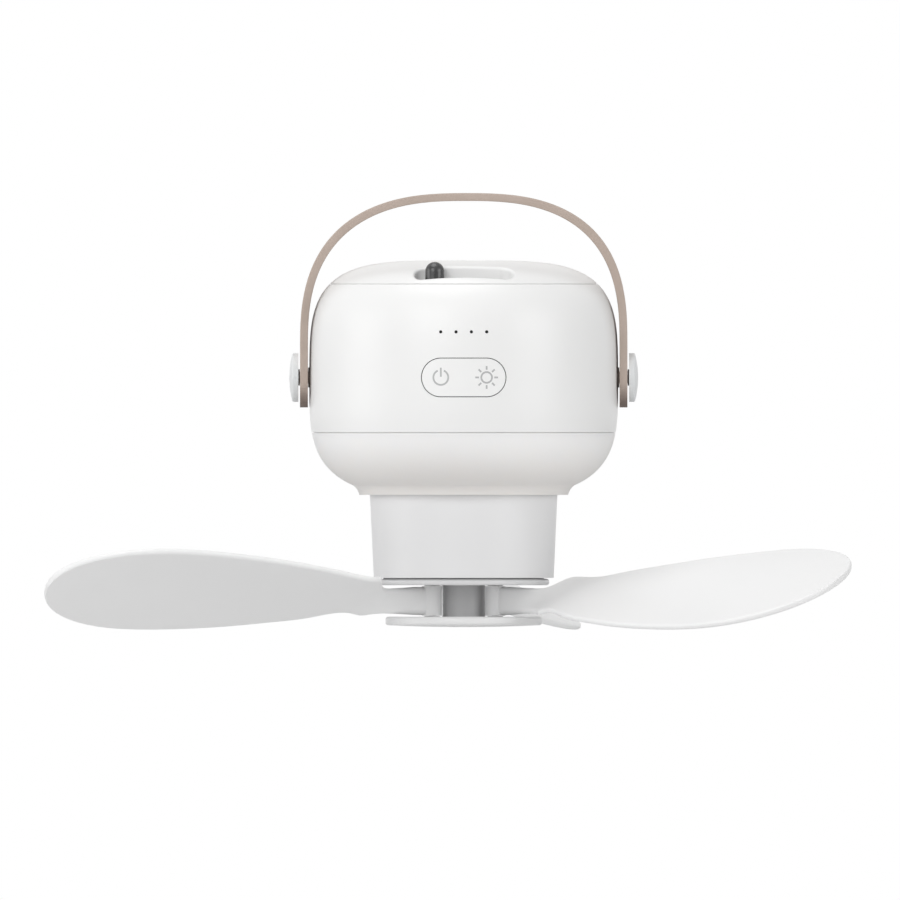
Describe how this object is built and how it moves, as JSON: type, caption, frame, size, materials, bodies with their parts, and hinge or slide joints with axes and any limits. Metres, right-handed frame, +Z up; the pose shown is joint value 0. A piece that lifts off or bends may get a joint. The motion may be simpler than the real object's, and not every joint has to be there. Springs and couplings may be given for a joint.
{
  "type": "portable camping fan",
  "caption": "Hanging lantern fan: round body with a swinging strap handle, lamp bowl, slide lever, rocker button and folding blades on a hub below.",
  "frame": {"origin": "hang point: the middle of the strap's underside, with the fan hanging upright", "axes": "+Z up along the fan's spin axis, +X along the handle pivots to the right, -Y to the front with the button and the lever recess"},
  "size_m": [0.3472, 0.3214, 0.1877],
  "materials": {
    "shell_white": "satin",
    "bowl_pearl": "satin",
    "neck_white": "satin",
    "button_white": "satin",
    "lens_black": "gloss",
    "lever_black": "gloss",
    "strap_taupe": "satin",
    "washer_dark": "matte",
    "knob_white": "satin",
    "disc_white": "satin",
    "core_grey": "satin",
    "blade_white": "satin",
    "washer_light": "satin",
    "steel": "satin",
    "can_steel": "satin",
    "magnet_dark": "satin",
    "core_iron": "satin",
    "copper_wire": "satin",
    "board_green": "satin",
    "chip_pale": "gloss",
    "frame_grey": "matte",
    "cell_blue": "gloss",
    "switch_black": "satin",
    "socket_metal": "polished"
  },
  "bodies": {
    "housing": {"top_cover": "shell_white", "main_housing": "shell_white", "light_bowl": "bowl_pearl", "neck_sleeve": "neck_white", "neck_end_plate": "neck_white", "indicator_lenses": "lens_black", "body_washers": "washer_dark", "knob_washers": "washer_dark", "handle_knobs": "knob_white", "housing_screws": "steel", "neck_screws": "steel", "end_plate_screws": "steel", "pivot_screws": "steel", "pivot_sleeves": "steel", "motor_bearings": "steel", "button_hinge_pin": "steel", "stator_core": "core_iron", "stator_windings": "copper_wire", "control_board": "board_green", "power_board": "board_green", "lamp_board": "board_green", "lamp_leds": "chip_pale", "indicator_leds": "chip_pale", "chassis_plate": "frame_grey", "battery_tray": "frame_grey", "button_bracket": "frame_grey", "battery_cells": "cell_blue", "tact_switches": "switch_black", "lever_slide_unit": "switch_black", "usb_socket": "socket_metal"},
    "rotor": {"rotor_can": "can_steel", "rotor_magnets": "magnet_dark", "motor_shaft": "steel", "upper_hub_disc": "disc_white", "hub_core": "core_grey", "lower_hub_disc": "disc_white", "hub_screws": "steel", "blade_pins": "steel", "pivot_washers": "washer_light"},
    "blade_rear": {"blade_rear": "blade_white"},
    "blade_left": {"blade_left": "blade_white"},
    "blade_right": {"blade_right": "blade_white"},
    "handle": {"handle_strap": "strap_taupe"},
    "button": {"button_pad": "button_white"},
    "speed_lever": {"speed_lever": "lever_black"}
  },
  "joints": [
    {"name": "rotor_spin", "type": "hinge", "parent": "housing", "child": "rotor", "pos_m": [0, 0, -0.172], "axis": [0, 0, 1], "continuous": true},
    {"name": "blade_rear_fold", "type": "hinge", "parent": "rotor", "child": "blade_rear", "pos_m": [0.00011, 0.0157, -0.172], "axis": [0, 0, 1], "range_deg": [-72, 0]},
    {"name": "blade_left_fold", "type": "hinge", "parent": "rotor", "child": "blade_left", "pos_m": [-0.01365, -0.00775, -0.172], "axis": [0, 0, 1], "range_deg": [-72, 0]},
    {"name": "blade_right_fold", "type": "hinge", "parent": "rotor", "child": "blade_right", "pos_m": [0.01354, -0.00794, -0.172], "axis": [0, 0, 1], "range_deg": [-72, 0]},
    {"name": "handle_swing", "type": "hinge", "parent": "housing", "child": "handle", "pos_m": [0, 0, -0.0759], "axis": [1, 0, 0], "range_deg": [-120, 120]},
    {"name": "button_rock", "type": "hinge", "parent": "housing", "child": "button", "pos_m": [0, -0.061, -0.0759], "axis": [0, 0, 1], "range_deg": [-2, 2], "stiffness_Nm_per_rad": 0.2},
    {"name": "speed_lever_slide", "type": "hinge", "parent": "housing", "child": "speed_lever", "pos_m": [0, 0.0369, -0.0366], "axis": [0, 0, 1], "range_deg": [0, 16.85]}
  ]
}
